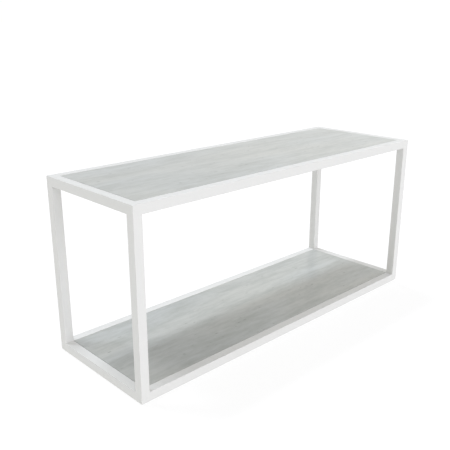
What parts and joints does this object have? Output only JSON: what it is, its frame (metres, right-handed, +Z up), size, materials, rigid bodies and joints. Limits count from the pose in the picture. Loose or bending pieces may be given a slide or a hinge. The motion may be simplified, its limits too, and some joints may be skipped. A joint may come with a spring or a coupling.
{
  "type": "console table",
  "caption": "Long console table: a white square-tube box frame with a flush stone top and a flush stone lower shelf, standing on screw-adjustable levelling glides.",
  "frame": {"origin": "on the floor, under the middle of the table", "axes": "+X along the table from its left end to its right end, +Y from front to back, +Z up"},
  "size_m": [1.7, 0.575, 0.768],
  "materials": {
    "frame_paint": "white satin powder coat",
    "stone": "light grey vein-cut stone, filled and honed",
    "rubber_pad": "matt black",
    "plated_steel": "bright zinc plating",
    "nylon": "light grey moulded nylon"
  },
  "bodies": {
    "table": {"top_front_rail": "frame_paint", "top_back_rail": "frame_paint", "top_left_rail": "frame_paint", "top_right_rail": "frame_paint", "bottom_front_rail": "frame_paint", "bottom_back_rail": "frame_paint", "bottom_left_rail": "frame_paint", "bottom_right_rail": "frame_paint", "front_left_leg": "frame_paint", "front_right_leg": "frame_paint", "back_left_leg": "frame_paint", "back_right_leg": "frame_paint", "top_panel": "stone", "top_front_ledge": "frame_paint", "top_back_ledge": "frame_paint", "top_left_ledge": "frame_paint", "top_right_ledge": "frame_paint", "top_ledge_welds": "frame_paint", "top_left_cross_bar": "frame_paint", "top_middle_cross_bar": "frame_paint", "top_right_cross_bar": "frame_paint", "top_panel_pads": "rubber_pad", "shelf_panel": "stone", "bottom_front_ledge": "frame_paint", "bottom_back_ledge": "frame_paint", "bottom_left_ledge": "frame_paint", "bottom_right_ledge": "frame_paint", "bottom_ledge_welds": "frame_paint", "bottom_left_cross_bar": "frame_paint", "bottom_middle_cross_bar": "frame_paint", "bottom_right_cross_bar": "frame_paint", "shelf_panel_pads": "rubber_pad", "front_left_glide_nut": "plated_steel", "front_right_glide_nut": "plated_steel", "back_left_glide_nut": "plated_steel", "back_right_glide_nut": "plated_steel"},
    "front_left_glide_foot": {"front_left_glide_base": "nylon"},
    "front_left_glide_screw": {"front_left_glide_stem": "plated_steel"},
    "front_right_glide_foot": {"front_right_glide_base": "nylon"},
    "front_right_glide_screw": {"front_right_glide_stem": "plated_steel"},
    "back_left_glide_foot": {"back_left_glide_base": "nylon"},
    "back_left_glide_screw": {"back_left_glide_stem": "plated_steel"},
    "back_right_glide_foot": {"back_right_glide_base": "nylon"},
    "back_right_glide_screw": {"back_right_glide_stem": "plated_steel"}
  },
  "joints": [
    {"name": "front_left_glide_height", "type": "slide", "parent": "table", "child": "front_left_glide_foot", "axis": [0, 0, -1], "range_m": [0, 0.012]},
    {"name": "front_left_glide_turn", "type": "hinge", "parent": "front_left_glide_foot", "child": "front_left_glide_screw", "pos_m": [-0.79, -0.26845, 0.003], "axis": [0, 0, -1], "range_deg": [0, 3456]},
    {"name": "front_right_glide_height", "type": "slide", "parent": "table", "child": "front_right_glide_foot", "axis": [0, 0, -1], "range_m": [0, 0.012]},
    {"name": "front_right_glide_turn", "type": "hinge", "parent": "front_right_glide_foot", "child": "front_right_glide_screw", "pos_m": [0.79, -0.26845, 0.003], "axis": [0, 0, -1], "range_deg": [0, 3456]},
    {"name": "back_left_glide_height", "type": "slide", "parent": "table", "child": "back_left_glide_foot", "axis": [0, 0, -1], "range_m": [0, 0.012]},
    {"name": "back_left_glide_turn", "type": "hinge", "parent": "back_left_glide_foot", "child": "back_left_glide_screw", "pos_m": [-0.79, 0.26845, 0.003], "axis": [0, 0, -1], "range_deg": [0, 3456]},
    {"name": "back_right_glide_height", "type": "slide", "parent": "table", "child": "back_right_glide_foot", "axis": [0, 0, -1], "range_m": [0, 0.012]},
    {"name": "back_right_glide_turn", "type": "hinge", "parent": "back_right_glide_foot", "child": "back_right_glide_screw", "pos_m": [0.79, 0.26845, 0.003], "axis": [0, 0, -1], "range_deg": [0, 3456]}
  ],
  "couplings": [
    {"joint": "front_left_glide_height", "follows": "front_left_glide_turn", "m_per_rad": 0.00019894},
    {"joint": "front_right_glide_height", "follows": "front_right_glide_turn", "m_per_rad": 0.00019894},
    {"joint": "back_left_glide_height", "follows": "back_left_glide_turn", "m_per_rad": 0.00019894},
    {"joint": "back_right_glide_height", "follows": "back_right_glide_turn", "m_per_rad": 0.00019894}
  ]
}
